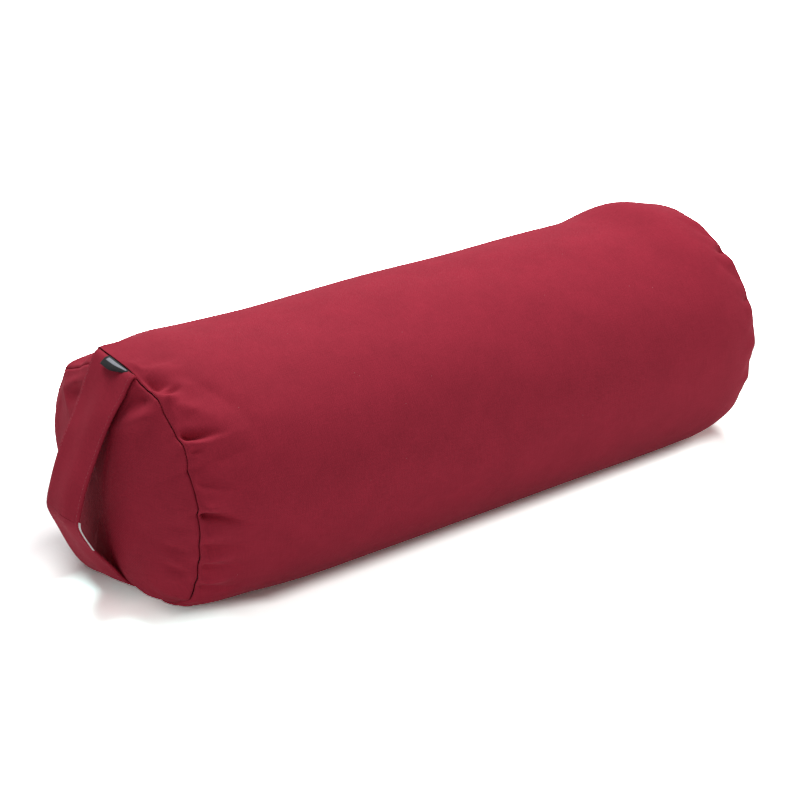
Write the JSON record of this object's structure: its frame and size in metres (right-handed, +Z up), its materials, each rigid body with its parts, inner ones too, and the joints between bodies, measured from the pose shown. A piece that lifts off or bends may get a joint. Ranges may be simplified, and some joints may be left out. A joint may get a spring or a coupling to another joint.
{
  "type": "yoga bolster",
  "caption": "Round husk-filled yoga bolster with a zipped cotton cover, an inner bag and a carrying strap across one end.",
  "frame": {"origin": "middle of the flat patch that the bolster rests on, under the middle of its body", "axes": "+X along the bolster, away from the carrying strap; +Z up; +Y towards the cover's zip"},
  "size_m": [0.687, 0.25, 0.2139],
  "materials": {
    "burgundy_cotton": "matte fine cotton twill",
    "black_label": "woven satin",
    "white_satin": "thin satin",
    "zip_tape": "woven polyester tape",
    "zip_teeth": "moulded polyacetal",
    "zip_metal": "plated die casting",
    "natural_calico": "plain unbleached cotton",
    "liner_zip_tape": "woven polyester tape",
    "liner_zip_teeth": "moulded polyacetal",
    "buckwheat_husk": "loose husks"
  },
  "bodies": {
    "bolster": {"cover_body": "burgundy_cotton", "cover_end_panel_front": "burgundy_cotton", "cover_end_panel_rear": "burgundy_cotton", "handle_strap_upper_end": "burgundy_cotton", "handle_strap_lower_end": "burgundy_cotton", "side_label": "black_label", "cover_zip_tape_upper": "zip_tape", "cover_zip_tape_lower": "zip_tape", "cover_zip_teeth_upper": "zip_teeth", "cover_zip_teeth_lower": "zip_teeth", "cover_zip_end_stop_upper": "zip_metal", "cover_zip_end_stop_lower": "zip_metal", "cover_zip_bottom_stop": "zip_metal", "liner_body": "natural_calico", "liner_end_panel_front": "natural_calico", "liner_end_panel_rear": "natural_calico", "liner_zip_tape_upper": "liner_zip_tape", "liner_zip_tape_lower": "liner_zip_tape", "liner_zip_teeth_upper": "liner_zip_teeth", "liner_zip_teeth_lower": "liner_zip_teeth", "liner_zip_end_stop_upper": "zip_metal", "liner_zip_end_stop_lower": "zip_metal", "liner_zip_bottom_stop": "zip_metal", "husk_filling": "buckwheat_husk"},
    "strap_grip": {"handle_strap_grip": "burgundy_cotton", "care_label": "white_satin"},
    "zip_slider": {"cover_zip_slider": "zip_metal"},
    "zip_pull": {"cover_zip_pull": "zip_metal"},
    "liner_slider": {"liner_zip_slider": "zip_metal"}
  },
  "joints": [
    {"name": "strap_swing", "type": "hinge", "parent": "bolster", "child": "strap_grip", "pos_m": [-0.304, 0.005, 0.1], "axis": [0, 0, 1], "range_deg": [-25, 25], "stiffness_Nm_per_rad": 0.05},
    {"name": "cover_zip_slide", "type": "slide", "parent": "bolster", "child": "zip_slider", "axis": [1, 0, 0], "range_m": [0, 0.4657], "deforming": ["cover_zip_teeth_upper", "cover_zip_teeth_lower"]},
    {"name": "cover_zip_pull_flip", "type": "hinge", "parent": "zip_slider", "child": "zip_pull", "pos_m": [-0.21539, 0.11085, 0.15713], "axis": [0, -0.523, 0.8524], "range_deg": [0, 165]},
    {"name": "liner_zip_slide", "type": "slide", "parent": "bolster", "child": "liner_slider", "axis": [-1, 0, 0], "range_m": [0, 0.27945], "deforming": ["liner_zip_teeth_upper", "liner_zip_teeth_lower"]}
  ]
}
